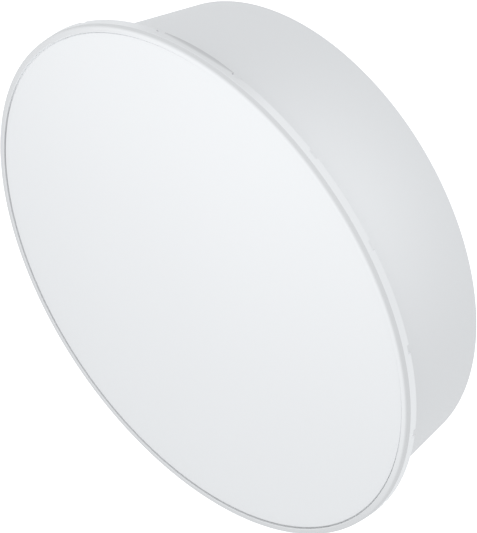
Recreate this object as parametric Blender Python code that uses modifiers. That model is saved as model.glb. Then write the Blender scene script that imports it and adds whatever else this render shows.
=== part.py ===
"""Shrouded parabolic dish antenna with its mounting bracket, in metres, +Z up.

The antenna looks along -Y. Depth runs back from the middle of its front plane, along its axis.
The radome and the shroud's front lean forward at the top; the rest is square to the axis.
The origin lies on the axis, on the flat rear face of the mounting bracket.
"""
import math

import bmesh
import bpy
from mathutils import Matrix

ASSEMBLY = "parabolic_dish_antenna"

# Driving sizes
RIM_RADIUS = 0.2295
MOUNT_DEPTH = 0.2055
FRONT_Y = -MOUNT_DEPTH
FRONT_LEAN = math.radians(4.2)
FRONT_RISE = 0.0017
ROUND_STEPS = 72
SMALL_STEPS = 32
GAP = 0.0003
OVERRUN = 0.0050

# Radome
FACE_RADIUS = 0.2228
FACE_DEPTH = 0.0011
RADOME_WALL = 0.0025
GROOVE_WIDTH = 0.0016
GROOVE_DEPTH = 0.0022
BEAD_RADIUS = 0.2293
BEAD_ROUND = 0.0019
BEAD_DEPTH = 0.0048
BEAD_STEP = 0.0002
SKIRT_END = 0.0116
SKIRT_WALL = 0.0028
NOTCH_COUNT = 16
NOTCH_FIRST = math.radians(11.4)
NOTCH_LENGTH = 0.0085
NOTCH_DEPTH = 0.0024

# Shroud
SHROUD_FRONT = 0.0056
SHROUD_REAR = 0.1134
SHROUD_FRONT_RADIUS = 0.2180
SHROUD_REAR_RADIUS = 0.1971
SHROUD_WALL = 0.0020
COLLAR_WALL = 0.0016
SHROUD_LIP_RADIUS = 0.1826
RIB_WIDTH = 0.0022
RIB_DEPTH = 0.0042
RIB_SINK = 0.0014
RIB_SHIFT = 0.0028

# Reflector
FOCAL_LENGTH = 0.1410
DISH_RADIUS = SHROUD_REAR_RADIUS - COLLAR_WALL - GAP
DISH_WALL = 0.0016
SEAT_RADIUS = 0.0660
FEED_HOLE_RADIUS = 0.0260
DISH_RINGS = 8
RIM_SCREW_COUNT = 12
RIM_SCREW_FIRST = math.radians(16.5)
RIM_SCREW_RADIUS = 0.1890

# Hub, backing ring and feed
HUB_RADIUS = 0.0640
HUB_THICKNESS = 0.0050
HUB_EDGE = 0.0012
PAD_WIDTH = 0.0580
PAD_HEIGHT = 0.0740
PAD_THICKNESS = 0.0030
RING_RADIUS = 0.0590
RING_THICKNESS = 0.0030
HUB_BOLT_X = 0.0470
HUB_BOLT_Z = 0.0220
FEED_RADIUS = 0.0225
FEED_NECK_RADIUS = 0.0180
FEED_NECK_LENGTH = 0.0120
FEED_SHOULDER = 0.0040
FEED_FRONT = 0.0600
FEED_CAP_FRONT = 0.0380
FEED_CAP_RADIUS = 0.0330
FEED_CAP_EDGE = 0.0045

# Radio housing
HOUSING_SIZE = (0.0560, 0.0160, 0.0740)
COVER_SIZE = (0.0520, 0.0140, 0.0260)
HOUSING_ROUND = 0.0035
GLAND_RADIUS = 0.0065
GLAND_TIP_RADIUS = 0.0048
GLAND_LENGTH = 0.0120

# Mounting bracket
PLATE = 0.0025
BEND = 0.0035
FOOT_REACH = 0.0560
FOOT_CORNER = 0.0080
LEG_X = 0.0340
BRACKET_HALF_HEIGHT = 0.0300
POLE_BOLT_SPREAD = 0.0200
POLE_BOLT_HOLE = 0.0043

# Fasteners
BOLT_RADIUS = 0.0030
BOLT_HOLE = 0.0034
BOLT_HEX_RADIUS = 0.0057
BOLT_HEAD = 0.0050
BOLT_FLANGE_RADIUS = 0.0068
BOLT_FLANGE = 0.0012
SCREW_RADIUS = 0.0017
SCREW_HOLE = 0.0021
SCREW_HEAD_RADIUS = 0.0031
SCREW_HEAD = 0.0013
SINK_RADIUS = 0.0045
SINK_START = 0.0010
EARTH_SCREW_RADIUS = 0.0024
EARTH_HOLE = 0.0028
EARTH_HEAD_RADIUS = 0.0044
EARTH_CROWN_RADIUS = 0.0032
EARTH_HEAD = 0.0028

# Places worked out from the sizes
TURN_TO_AXIS = Matrix.Translation((0.0, FRONT_Y, 0.0)) @ Matrix.Rotation(math.pi / 2, 4, "X")
LEAN_FORWARD = (
    Matrix.Translation((0.0, FRONT_Y, FRONT_RISE))
    @ Matrix.Rotation(FRONT_LEAN, 4, "X")
    @ Matrix.Translation((0.0, -FRONT_Y, 0.0))
)
FLANGE_RADIUS = RIM_RADIUS - SKIRT_WALL - GAP
FLANGE_REAR = SHROUD_FRONT + SHROUD_WALL
RIM_SLOPE = math.atan((DISH_RADIUS + SHROUD_LIP_RADIUS) / (4.0 * FOCAL_LENGTH))
VERTEX_DEPTH = SHROUD_REAR + DISH_RADIUS ** 2 / (4.0 * FOCAL_LENGTH)
SEAT_DEPTH = VERTEX_DEPTH - SEAT_RADIUS ** 2 / (4.0 * FOCAL_LENGTH)
RING_REAR_DEPTH = SEAT_DEPTH - DISH_WALL - GAP
RING_FRONT_DEPTH = RING_REAR_DEPTH - RING_THICKNESS
HUB_FRONT_DEPTH = SEAT_DEPTH + GAP
HUB_REAR_DEPTH = HUB_FRONT_DEPTH + HUB_THICKNESS
PAD_REAR_DEPTH = HUB_REAR_DEPTH + PAD_THICKNESS
HOUSING_FRONT_DEPTH = PAD_REAR_DEPTH + GAP
FOOT_FRONT_DEPTH = HUB_REAR_DEPTH + GAP
FOOT_REAR_DEPTH = FOOT_FRONT_DEPTH + PLATE


def clear_scene():
    """Removes what a new file holds."""
    for item in list(bpy.data.objects):
        bpy.data.objects.remove(item, do_unlink=True)


def make_collection(name):
    """Makes a collection under the scene's own."""
    collection = bpy.data.collections.new(name)
    bpy.context.scene.collection.children.link(collection)
    return collection


def make_material(name, colour, roughness, metallic=0.0):
    """Makes a plain Principled material."""
    material = bpy.data.materials.new(name)
    material.use_nodes = True
    shader = material.node_tree.nodes["Principled BSDF"]
    shader.inputs["Base Color"].default_value = (*colour, 1.0)
    shader.inputs["Roughness"].default_value = roughness
    shader.inputs["Metallic"].default_value = metallic
    material.diffuse_color = (*colour, 1.0)
    return material


clear_scene()
PARTS = make_collection(ASSEMBLY)
CUTTERS = make_collection("cutters")
RADOME_PLASTIC = make_material("radome_plastic", (0.88, 0.885, 0.89), 0.45)
SHROUD_PLASTIC = make_material("shroud_plastic", (0.82, 0.825, 0.83), 0.5)
DISH_PAINT = make_material("reflector_paint", (0.80, 0.805, 0.81), 0.45)
CAST_ALLOY = make_material("cast_alloy", (0.62, 0.63, 0.64), 0.5, 0.8)
ZINC_STEEL = make_material("zinc_steel", (0.60, 0.61, 0.62), 0.4, 0.9)
BOLT_STEEL = make_material("bolt_steel", (0.66, 0.66, 0.67), 0.3, 0.95)
HOUSING_PLASTIC = make_material("housing_plastic", (0.78, 0.785, 0.79), 0.5)
FEED_PLASTIC = make_material("feed_plastic", (0.75, 0.75, 0.74), 0.5)
GLAND_RUBBER = make_material("gland_rubber", (0.05, 0.05, 0.05), 0.7)


def link_object(name, data, collection):
    """Adds an object for a mesh to a collection."""
    item = bpy.data.objects.new(name, data)
    collection.objects.link(item)
    return item


def bake(item):
    """Replaces an object's data with the mesh that its modifiers make."""
    graph = bpy.context.evaluated_depsgraph_get()
    mesh = bpy.data.meshes.new_from_object(item.evaluated_get(graph))
    mesh.name = item.name
    item.modifiers.clear()
    item.data = mesh


def shade(mesh, material):
    """Gives a mesh its material and smooth shading with sharp corners."""
    mesh.materials.clear()
    mesh.materials.append(material)
    mesh.shade_smooth()
    mesh.set_sharp_from_angle(angle=math.radians(30.0))


def finish(item, material):
    """Bakes a part and gives it its material."""
    bake(item)
    shade(item.data, material)


def arc(centre_x, centre_y, radius, start, end, steps):
    """Points along an arc, its angles in degrees."""
    points = []
    for index in range(steps + 1):
        angle = math.radians(start + (end - start) * index / steps)
        points.append((centre_x + radius * math.cos(angle), centre_y + radius * math.sin(angle)))
    return points


def lathe(name, profile, collection, closed=False, steps=SMALL_STEPS):
    """Turns a profile of radius and height, which runs down its outer side, about local Z."""
    mesh = bpy.data.meshes.new(name)
    edges = [(index, index + 1) for index in range(len(profile) - 1)]
    if closed:
        edges.append((len(profile) - 1, 0))
    mesh.from_pydata([(radius, 0.0, height) for radius, height in profile], edges, [])
    item = link_object(name, mesh, collection)
    screw = item.modifiers.new("turn", "SCREW")
    screw.axis = "Z"
    screw.steps = steps
    screw.render_steps = steps
    screw.use_merge_vertices = True
    screw.merge_threshold = 0.00002
    return item


def turned(name, profile, closed=False, steps=ROUND_STEPS):
    """Turns a profile of radius and depth about the antenna's axis."""
    item = lathe(name, [(radius, -depth) for radius, depth in profile], PARTS, closed, steps)
    item.matrix_world = TURN_TO_AXIS
    return item


def backwards(x, depth, z):
    """Places a piece made along +Z so that it runs back from a depth."""
    return Matrix.Translation((x, FRONT_Y + depth, z)) @ Matrix.Rotation(-math.pi / 2, 4, "X")


def forwards(x, depth, z):
    """Places a piece made along +Z so that it runs forward from a depth."""
    return Matrix.Translation((x, FRONT_Y + depth, z)) @ Matrix.Rotation(math.pi / 2, 4, "X")


def around_axis(angle):
    """Turns about the antenna's axis, from the top towards +X."""
    return Matrix.Rotation(angle, 4, "Y")


def cylinders_mesh(name, radius, end_radius, length, sides, places):
    """One mesh of cylinders or cones, each along +Z of its place from zero to its length."""
    work = bmesh.new()
    for place in places:
        bmesh.ops.create_cone(
            work,
            cap_ends=True,
            segments=sides,
            radius1=radius,
            radius2=end_radius,
            depth=length,
            matrix=place @ Matrix.Translation((0.0, 0.0, length / 2)),
        )
    mesh = bpy.data.meshes.new(name)
    work.to_mesh(mesh)
    work.free()
    return mesh


def boxes_mesh(name, matrices):
    """One mesh of boxes, each the unit cube placed by a matrix."""
    work = bmesh.new()
    for matrix in matrices:
        bmesh.ops.create_cube(work, size=1.0, matrix=matrix)
    mesh = bpy.data.meshes.new(name)
    work.to_mesh(mesh)
    work.free()
    return mesh


def box_matrix(size, middle):
    """Scales and places the unit cube; middle holds X, the depth and Z."""
    x, depth, z = middle
    return Matrix.Translation((x, FRONT_Y + depth, z)) @ Matrix.Diagonal((*size, 1.0))


def combine(item, mesh, operation):
    """Cuts an object with a mesh, or joins the mesh to it."""
    tool = link_object(mesh.name + "_tool", mesh, CUTTERS)
    tool.hide_render = True
    tool.display_type = "WIRE"
    boolean = item.modifiers.new(operation.lower(), "BOOLEAN")
    boolean.operation = operation
    boolean.solver = "EXACT"
    boolean.object = tool


def add_bevel(item, width, segments):
    """Rounds an object's sharp edges."""
    bevel = item.modifiers.new("rounding", "BEVEL")
    bevel.width = width
    bevel.segments = segments
    bevel.limit_method = "ANGLE"
    bevel.angle_limit = math.radians(30.0)


def hub_bolt_places():
    """Centres of the four hub bolts, in X and Z."""
    return [(side * HUB_BOLT_X, level * HUB_BOLT_Z) for side in (-1, 1) for level in (-1, 1)]


def notch_angles():
    """Angles of the notches in the radome's skirt."""
    return [NOTCH_FIRST + index * math.tau / NOTCH_COUNT for index in range(NOTCH_COUNT)]


def rim_depth(radius):
    """Depth of the bowl's rear face on its sloping rim."""
    return SHROUD_REAR + (DISH_RADIUS - radius) * math.tan(RIM_SLOPE)


def rim_screw_places(rise):
    """Places on the bowl's sloping rim, +Z running forward through it from a rise above it."""
    lean = Matrix.Rotation(math.pi / 2 + RIM_SLOPE, 4, "X")
    rear = Matrix.Translation((0.0, FRONT_Y + rim_depth(RIM_SCREW_RADIUS), RIM_SCREW_RADIUS))
    seat = rear @ lean
    start = seat @ Matrix.Translation((0.0, 0.0, -rise))
    step = math.tau / RIM_SCREW_COUNT
    return [around_axis(RIM_SCREW_FIRST + index * step) @ start for index in range(RIM_SCREW_COUNT)]


def cut_hub_holes(item, depth, length):
    """Cuts the four hub bolts' holes back from a depth."""
    places = [backwards(x, depth, z) for x, z in hub_bolt_places()]
    combine(item, cylinders_mesh("hub_holes", BOLT_HOLE, BOLT_HOLE, length, 16, places), "DIFFERENCE")


def cut_rim_holes(item):
    """Cuts the rim screws' holes."""
    places = rim_screw_places(OVERRUN)
    mesh = cylinders_mesh("rim_holes", SCREW_HOLE, SCREW_HOLE, 3 * OVERRUN, 12, places)
    combine(item, mesh, "DIFFERENCE")


def build_radome():
    """Flat cover with a groove, a raised bead, a skirt and notches in the skirt's rear edge."""
    inner = RIM_RADIUS - SKIRT_WALL
    shoulder = SHROUD_FRONT - GAP
    back = FACE_DEPTH + RADOME_WALL
    profile = [
        (0.0, FACE_DEPTH),
        (FACE_RADIUS, FACE_DEPTH),
        (FACE_RADIUS, GROOVE_DEPTH),
        (FACE_RADIUS + GROOVE_WIDTH, GROOVE_DEPTH),
        (FACE_RADIUS + GROOVE_WIDTH, 0.0),
    ]
    bead = arc(BEAD_RADIUS - BEAD_ROUND, -BEAD_ROUND, BEAD_ROUND, 90.0, 0.0, 3)
    profile += [(radius, -height) for radius, height in bead]
    profile += [
        (BEAD_RADIUS, BEAD_DEPTH),
        (RIM_RADIUS, BEAD_DEPTH + BEAD_STEP),
        (RIM_RADIUS, SKIRT_END),
        (inner, SKIRT_END),
        (inner, shoulder),
        (FACE_RADIUS - RADOME_WALL, shoulder),
        (FACE_RADIUS - 2 * RADOME_WALL, back),
        (0.0, back),
    ]
    radome = turned("radome", profile)
    radome.matrix_world = LEAN_FORWARD @ TURN_TO_AXIS
    size = (NOTCH_LENGTH, 2 * NOTCH_DEPTH, 4 * SKIRT_WALL)
    notch = box_matrix(size, (0.0, SKIRT_END, RIM_RADIUS))
    notches = [LEAN_FORWARD @ around_axis(angle) @ notch for angle in notch_angles()]
    combine(radome, boxes_mesh("radome_notches", notches), "DIFFERENCE")
    finish(radome, RADOME_PLASTIC)


def lean_front(item):
    """Leans the front ring of a turned object with the radome, and splits its faces in triangles."""
    bake(item)
    work = bmesh.new()
    work.from_mesh(item.data)
    work.transform(TURN_TO_AXIS)
    for vertex in work.verts:
        if vertex.co.y < FRONT_Y + FLANGE_REAR + GAP:
            vertex.co = LEAN_FORWARD @ vertex.co
    bmesh.ops.triangulate(work, faces=work.faces[:])
    work.to_mesh(item.data)
    work.free()
    item.matrix_world = Matrix.Identity(4)


def build_shroud():
    """Flared ring: a leaning front flange, a rear collar round the bowl, a sloping lip, snap ribs."""
    lip_offset = (DISH_WALL + GAP) / math.cos(RIM_SLOPE)
    lip_wall = SHROUD_WALL / math.cos(RIM_SLOPE)
    collar_radius = SHROUD_REAR_RADIUS - COLLAR_WALL
    lip_depth = rim_depth(SHROUD_LIP_RADIUS) - lip_offset
    inner_radius = SHROUD_REAR_RADIUS - SHROUD_WALL
    profile = [
        (SHROUD_FRONT_RADIUS - SHROUD_WALL, SHROUD_FRONT),
        (FLANGE_RADIUS, SHROUD_FRONT),
        (FLANGE_RADIUS, FLANGE_REAR),
        (SHROUD_FRONT_RADIUS, FLANGE_REAR),
        (SHROUD_REAR_RADIUS, SHROUD_REAR),
        (collar_radius, SHROUD_REAR),
        (collar_radius, rim_depth(collar_radius) - lip_offset),
        (SHROUD_LIP_RADIUS, lip_depth),
        (SHROUD_LIP_RADIUS, lip_depth - lip_wall),
        (inner_radius, rim_depth(inner_radius) - lip_offset - lip_wall),
    ]
    shroud = turned("shroud", profile, closed=True)
    lean_front(shroud)
    height = FLANGE_RADIUS - SHROUD_FRONT_RADIUS
    size = (RIB_WIDTH, RIB_DEPTH + RIB_SINK, height)
    rib_radius = SHROUD_FRONT_RADIUS + height / 2 - RIB_SINK
    rib = box_matrix(size, (RIB_SHIFT, FLANGE_REAR + (RIB_DEPTH - RIB_SINK) / 2, rib_radius))
    ribs = [LEAN_FORWARD @ around_axis(angle) @ rib for angle in notch_angles()]
    combine(shroud, boxes_mesh("shroud_ribs", ribs), "UNION")
    cut_rim_holes(shroud)
    finish(shroud, SHROUD_PLASTIC)


def dish_depth(radius):
    """Depth of the bowl's rear face at a radius."""
    return VERTEX_DEPTH - radius ** 2 / (4.0 * FOCAL_LENGTH)


def bowl_front(radius, depth, slope):
    """Point on the bowl's front face across its wall from a point on its rear face."""
    return (radius - DISH_WALL * math.sin(slope), depth - DISH_WALL * math.cos(slope))


def build_reflector():
    """Parabolic bowl with a flat seat at its centre and countersunk holes round its rim."""
    step = (SHROUD_LIP_RADIUS - SEAT_RADIUS) / DISH_RINGS
    radii = [SHROUD_LIP_RADIUS - index * step for index in range(DISH_RINGS + 1)]
    profile = [(DISH_RADIUS, SHROUD_REAR)]
    profile += [(radius, dish_depth(radius)) for radius in radii]
    profile += [(FEED_HOLE_RADIUS, SEAT_DEPTH), (FEED_HOLE_RADIUS, SEAT_DEPTH - DISH_WALL)]
    for radius in reversed(radii):
        profile.append(bowl_front(radius, dish_depth(radius), math.atan(radius / (2.0 * FOCAL_LENGTH))))
    profile.append(bowl_front(DISH_RADIUS, SHROUD_REAR, RIM_SLOPE))
    reflector = turned("reflector", profile[::-1], closed=True)
    cut_hub_holes(reflector, SEAT_DEPTH - 2 * OVERRUN, 4 * OVERRUN)
    cut_rim_holes(reflector)
    sink_end = DISH_WALL + SINK_START
    places = rim_screw_places(SINK_START)
    sinks = cylinders_mesh("rim_sinks", SINK_RADIUS, SCREW_RADIUS, sink_end, 12, places)
    combine(reflector, sinks, "DIFFERENCE")
    finish(reflector, DISH_PAINT)


def build_feed():
    """Feed tube through the bowl's centre, and its cap with the small reflector."""
    rear = PAD_REAR_DEPTH - PAD_THICKNESS / 2
    neck_end = FEED_FRONT + FEED_NECK_LENGTH
    tube = [
        (0.0, FEED_FRONT),
        (FEED_NECK_RADIUS, FEED_FRONT),
        (FEED_NECK_RADIUS, neck_end),
        (FEED_RADIUS, neck_end + FEED_SHOULDER),
        (FEED_RADIUS, rear),
        (0.0, rear),
    ]
    finish(turned("feed_tube", tube, steps=SMALL_STEPS), FEED_PLASTIC)
    cap = [
        (0.0, FEED_CAP_FRONT),
        (FEED_CAP_RADIUS - FEED_CAP_EDGE, FEED_CAP_FRONT),
        (FEED_CAP_RADIUS, FEED_CAP_FRONT + FEED_CAP_EDGE),
        (FEED_CAP_RADIUS, FEED_CAP_FRONT + 2 * FEED_CAP_EDGE),
        (FEED_NECK_RADIUS, FEED_FRONT - GAP),
        (0.0, FEED_FRONT - GAP),
    ]
    finish(turned("feed_cap", cap, steps=SMALL_STEPS), HOUSING_PLASTIC)


def build_backing_ring():
    """Ring inside the bowl that the hub bolts screw into."""
    profile = [
        (FEED_HOLE_RADIUS, RING_FRONT_DEPTH),
        (RING_RADIUS, RING_FRONT_DEPTH),
        (RING_RADIUS, RING_REAR_DEPTH),
        (FEED_HOLE_RADIUS, RING_REAR_DEPTH),
    ]
    ring = turned("backing_ring", profile, closed=True, steps=SMALL_STEPS)
    cut_hub_holes(ring, RING_FRONT_DEPTH - OVERRUN, 4 * OVERRUN)
    finish(ring, ZINC_STEEL)


def build_hub():
    """Round cast plate on the reflector's seat, with a raised pad behind it."""
    profile = [
        (0.0, HUB_FRONT_DEPTH),
        (HUB_RADIUS, HUB_FRONT_DEPTH),
        (HUB_RADIUS, HUB_REAR_DEPTH - HUB_EDGE),
        (HUB_RADIUS - HUB_EDGE, HUB_REAR_DEPTH),
        (0.0, HUB_REAR_DEPTH),
    ]
    hub = turned("hub_plate", profile, steps=SMALL_STEPS)
    root = HUB_FRONT_DEPTH + HUB_THICKNESS / 2
    size = (PAD_WIDTH, PAD_REAR_DEPTH - root, PAD_HEIGHT)
    pad = box_matrix(size, (0.0, (PAD_REAR_DEPTH + root) / 2, 0.0))
    combine(hub, boxes_mesh("hub_pad", [pad]), "UNION")
    place = [backwards(0.0, HUB_FRONT_DEPTH - OVERRUN, 0.0)]
    radius = FEED_RADIUS + GAP
    combine(hub, cylinders_mesh("hub_bore", radius, radius, 4 * OVERRUN, SMALL_STEPS, place), "DIFFERENCE")
    cut_hub_holes(hub, HUB_FRONT_DEPTH - OVERRUN, 4 * OVERRUN)
    finish(hub, CAST_ALLOY)


def rounded_box(name, size, top):
    """Box with rounded edges that hangs down from a height behind the hub's pad."""
    middle = (0.0, HOUSING_FRONT_DEPTH + size[1] / 2, top - size[2] / 2)
    item = link_object(name, boxes_mesh(name, [box_matrix(size, middle)]), PARTS)
    add_bevel(item, HOUSING_ROUND, 3)
    finish(item, HOUSING_PLASTIC)


def build_housing():
    """Radio housing on the hub's pad, its port cover below, and the cable gland."""
    cover_top = -HOUSING_SIZE[2] / 2 - GAP
    rounded_box("radio_housing", HOUSING_SIZE, HOUSING_SIZE[2] / 2)
    rounded_box("port_cover", COVER_SIZE, cover_top)
    gland_low = cover_top - COVER_SIZE[2] - GAP - GLAND_LENGTH
    gland_y = FRONT_Y + HOUSING_FRONT_DEPTH + COVER_SIZE[1] / 2
    place = [Matrix.Translation((0.0, gland_y, gland_low))]
    gland = cylinders_mesh("cable_gland", GLAND_TIP_RADIUS, GLAND_RADIUS, GLAND_LENGTH, 24, place)
    finish(link_object("cable_gland", gland, PARTS), GLAND_RUBBER)


def folded_plate(name, path, half_height):
    """Sheet folded along a path of X and depth, with rounded folds and outer corners."""
    mesh = bpy.data.meshes.new(name)
    vertices = [(x, FRONT_Y + depth, z) for x, depth in path for z in (-half_height, half_height)]
    faces = [(2 * step, 2 * step + 2, 2 * step + 3, 2 * step + 1) for step in range(len(path) - 1)]
    mesh.from_pydata(vertices, [], faces)
    item = link_object(name, mesh, PARTS)
    group = item.vertex_groups.new(name="corners")
    group.add([0, 1, len(vertices) - 2, len(vertices) - 1], 1.0, "REPLACE")
    corners = item.modifiers.new("corners", "BEVEL")
    corners.affect = "VERTICES"
    corners.width = FOOT_CORNER
    corners.segments = 4
    corners.limit_method = "VGROUP"
    corners.vertex_group = group.name
    add_bevel(item, BEND, 4)
    sheet = item.modifiers.new("sheet", "SOLIDIFY")
    sheet.thickness = PLATE
    sheet.offset = 0.0
    sheet.use_even_offset = True
    return item


def build_bracket():
    """Folded plate: two feet on the hub, two legs beside the housing and a flat rear web."""
    foot = FOOT_FRONT_DEPTH + PLATE / 2
    web = MOUNT_DEPTH - PLATE / 2
    half = [(FOOT_REACH, foot), (LEG_X, foot), (LEG_X, web)]
    path = [(-x, depth) for x, depth in half] + half[::-1]
    bracket = folded_plate("mounting_bracket", path, BRACKET_HALF_HEIGHT)
    cut_hub_holes(bracket, FOOT_FRONT_DEPTH - OVERRUN, 2 * OVERRUN)
    spread = (-POLE_BOLT_SPREAD, POLE_BOLT_SPREAD)
    places = [backwards(x, MOUNT_DEPTH - OVERRUN, z) for x in spread for z in spread]
    radius = POLE_BOLT_HOLE
    combine(bracket, cylinders_mesh("pole_holes", radius, radius, 2 * OVERRUN, 16, places), "DIFFERENCE")
    place = [backwards(HUB_BOLT_X, FOOT_FRONT_DEPTH - OVERRUN, 0.0)]
    radius = EARTH_HOLE
    combine(bracket, cylinders_mesh("earth_hole", radius, radius, 2 * OVERRUN, 16, place), "DIFFERENCE")
    finish(bracket, ZINC_STEEL)


def turned_mesh(name, profile, joined=None, steps=16):
    """Mesh of a small turned piece, with another mesh joined to it."""
    item = lathe(name, profile, CUTTERS, steps=steps)
    if joined is not None:
        combine(item, joined, "UNION")
    bake(item)
    mesh = item.data
    bpy.data.objects.remove(item)
    return mesh


def build_hub_bolts():
    """Four flanged bolts through the bracket's feet, the hub and the bowl into the ring."""
    length = FOOT_REAR_DEPTH + GAP - RING_FRONT_DEPTH
    profile = [
        (0.0, length),
        (BOLT_RADIUS, length),
        (BOLT_RADIUS, 0.0),
        (BOLT_FLANGE_RADIUS, 0.0),
        (BOLT_FLANGE_RADIUS, -BOLT_FLANGE),
        (0.0, -BOLT_FLANGE),
    ]
    place = [Matrix.Translation((0.0, 0.0, -BOLT_HEAD))]
    hexagon_height = BOLT_HEAD - BOLT_FLANGE / 2
    hexagon = cylinders_mesh("hexagon", BOLT_HEX_RADIUS, BOLT_HEX_RADIUS, hexagon_height, 6, place)
    mesh = turned_mesh("hub_bolt", profile, hexagon)
    shade(mesh, BOLT_STEEL)
    for index, (x, z) in enumerate(hub_bolt_places()):
        item = link_object("hub_bolt_%d" % (index + 1), mesh, PARTS)
        item.matrix_world = forwards(x, FOOT_REAR_DEPTH + GAP, z)


def build_rim_screws():
    """Countersunk screws through the bowl's rim into the shroud's lip."""
    length = DISH_WALL + GAP + SHROUD_WALL
    profile = [
        (0.0, length),
        (SCREW_RADIUS, length),
        (SCREW_RADIUS, SCREW_HEAD),
        (SCREW_HEAD_RADIUS, 0.0),
        (0.0, 0.0),
    ]
    mesh = turned_mesh("rim_screw", profile, steps=12)
    shade(mesh, BOLT_STEEL)
    for index, place in enumerate(rim_screw_places(0.0)):
        item = link_object("rim_screw_%02d" % (index + 1), mesh, PARTS)
        item.matrix_world = place


def build_earth_screw():
    """Earth screw in the bracket's right foot."""
    profile = [
        (0.0, PLATE + GAP),
        (EARTH_SCREW_RADIUS, PLATE + GAP),
        (EARTH_SCREW_RADIUS, 0.0),
        (EARTH_HEAD_RADIUS, 0.0),
        (EARTH_HEAD_RADIUS, -EARTH_HEAD / 2),
        (EARTH_CROWN_RADIUS, -EARTH_HEAD),
        (0.0, -EARTH_HEAD),
    ]
    mesh = turned_mesh("earth_screw", profile)
    shade(mesh, BOLT_STEEL)
    item = link_object("earth_screw", mesh, PARTS)
    item.matrix_world = forwards(HUB_BOLT_X, FOOT_REAR_DEPTH + GAP, 0.0)


def main():
    """Builds the antenna from front to back."""
    build_radome()
    build_shroud()
    build_reflector()
    build_feed()
    build_backing_ring()
    build_hub()
    build_housing()
    build_bracket()
    build_hub_bolts()
    build_rim_screws()
    build_earth_screw()


main()
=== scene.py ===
"""Looks of a shrouded parabolic dish antenna: moulded plastic, powder coat, zinc and steel.

Lengths are in metres. Depth runs back from the middle of the antenna's front plane, along its
axis. The radome and the shroud's front lean forward at the top; the rest is square to the axis.
Angles round the axis start at the top and turn towards +X. Colours are linear.
"""
import math

import bmesh
import bpy
from mathutils import Matrix, Vector


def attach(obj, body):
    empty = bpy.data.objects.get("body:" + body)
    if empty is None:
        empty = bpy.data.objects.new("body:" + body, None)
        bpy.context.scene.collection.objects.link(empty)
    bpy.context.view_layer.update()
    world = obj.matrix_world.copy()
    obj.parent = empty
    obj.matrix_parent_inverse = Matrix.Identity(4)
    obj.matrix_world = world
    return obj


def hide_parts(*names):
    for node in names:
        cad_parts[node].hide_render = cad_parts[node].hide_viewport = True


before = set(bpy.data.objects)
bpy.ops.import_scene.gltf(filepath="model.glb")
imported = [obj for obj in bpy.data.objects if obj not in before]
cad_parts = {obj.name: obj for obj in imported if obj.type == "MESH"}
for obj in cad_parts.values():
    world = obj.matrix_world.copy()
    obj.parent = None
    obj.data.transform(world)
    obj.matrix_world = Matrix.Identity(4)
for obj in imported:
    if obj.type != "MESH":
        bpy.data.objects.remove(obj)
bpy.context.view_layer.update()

# Camera; the lens is in millimetres
AZIMUTH = math.radians(45.0)
ELEVATION = math.radians(35.264)
CAMERA_DISTANCE = 9.18
CAMERA_RIGHT = 0.0307
CAMERA_UP = 0.0141
LENS = 777.9

# Front, and the mount's flat face at the rear
RIM_RADIUS = 0.2295
MOUNT_DEPTH = 0.2055
FRONT_Y = -MOUNT_DEPTH
FRONT_LEAN = math.radians(4.2)
FRONT_RISE = 0.0017

# Steps round large, small and bolt-sized pieces
FINE_STEPS = 360
SMALL_STEPS = 96
BOLT_STEPS = 48

# Space between pieces, how far a cutter runs past, and slack for finding an edge's points
GAP = 0.0003
OVERRUN = 0.0050
EDGE_SLACK = 0.000004

# Radome
FACE_RADIUS = 0.2228
FACE_DEPTH = 0.0011
FACE_FILLET = 0.0002
RADOME_WALL = 0.0025
GROOVE_WIDTH = 0.0013
GROOVE_DEPTH = 0.0026
CROWN_START = FACE_RADIUS + GROOVE_WIDTH
CROWN_ROUND = 0.0003
CROWN_STEPS = 12
BEAD_RADIUS = 0.22925
BEAD_RISE = 0.0013
BEAD_DEPTH = 0.0048
BEAD_STEP = 0.0002
SKIRT_END = 0.0116
SKIRT_WALL = 0.0028
SKIRT_ROUND = 0.0004
SKIRT_RINGS = 24
NOTCH_COUNT = 16
NOTCH_FIRST = math.radians(11.4)
NOTCH_STEP = math.tau / NOTCH_COUNT
NOTCH_LENGTH = 0.0085
NOTCH_DEPTH = 0.0024
NOTCH_ROUND = 0.0005
NOTCH_NUDGES = {0: 0.4, 1: 0.6, 2: -0.8, 4: -1.4, 5: 1.2, 14: -0.3, 15: 1.8}  # Degrees

# Finger recess in the radome's skirt
RECESS_ANGLE = math.radians(1.2)
RECESS_HALF = math.radians(10.5)
RECESS_MIDDLE = 0.0085
RECESS_END = 0.0108
RECESS_SLOPE = 0.06
RECESS_LIP = 0.0009

# Tones of the radome's plastic: two colours, and factors on the face's colour; all but the face's
# colour are painted shade and painted light
FACE_COLOUR = (0.835, 0.842, 0.850)
# Painted shade: the band's grey stands in for the shade on the bead's rounded outer edge
BAND_SHADE_COLOUR = (0.690, 0.696, 0.702)
# Painted shade on the bead's far side and outer edge
CROWN_SHADE_FACTOR = 0.84
# Painted light: the skirt lighter towards the bottom
SKIRT_LIGHT_FACTOR = 1.07
# Painted light inside the groove, lifting out the shade that falls there
CHANNEL_LIGHT_FACTOR = 1.15
# Painted shade on the groove's far side
GROOVE_SHADE_FACTOR = 0.82
# Painted shade in and round the finger recess
RECESS_SHADE_FACTOR = 0.67
RADOME_CLOUD = 6.0
RADOME_GRAIN = 1500.0
RADOME_ROUGHNESS = (0.44, 0.54)

# How much of the painted shade shows: on the bead's outer edge, in the recess and beside it
CROWN_EDGE_SHARE = 0.5
RECESS_SHARE = 0.6
RECESS_BESIDE_SHARE = 0.4
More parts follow.
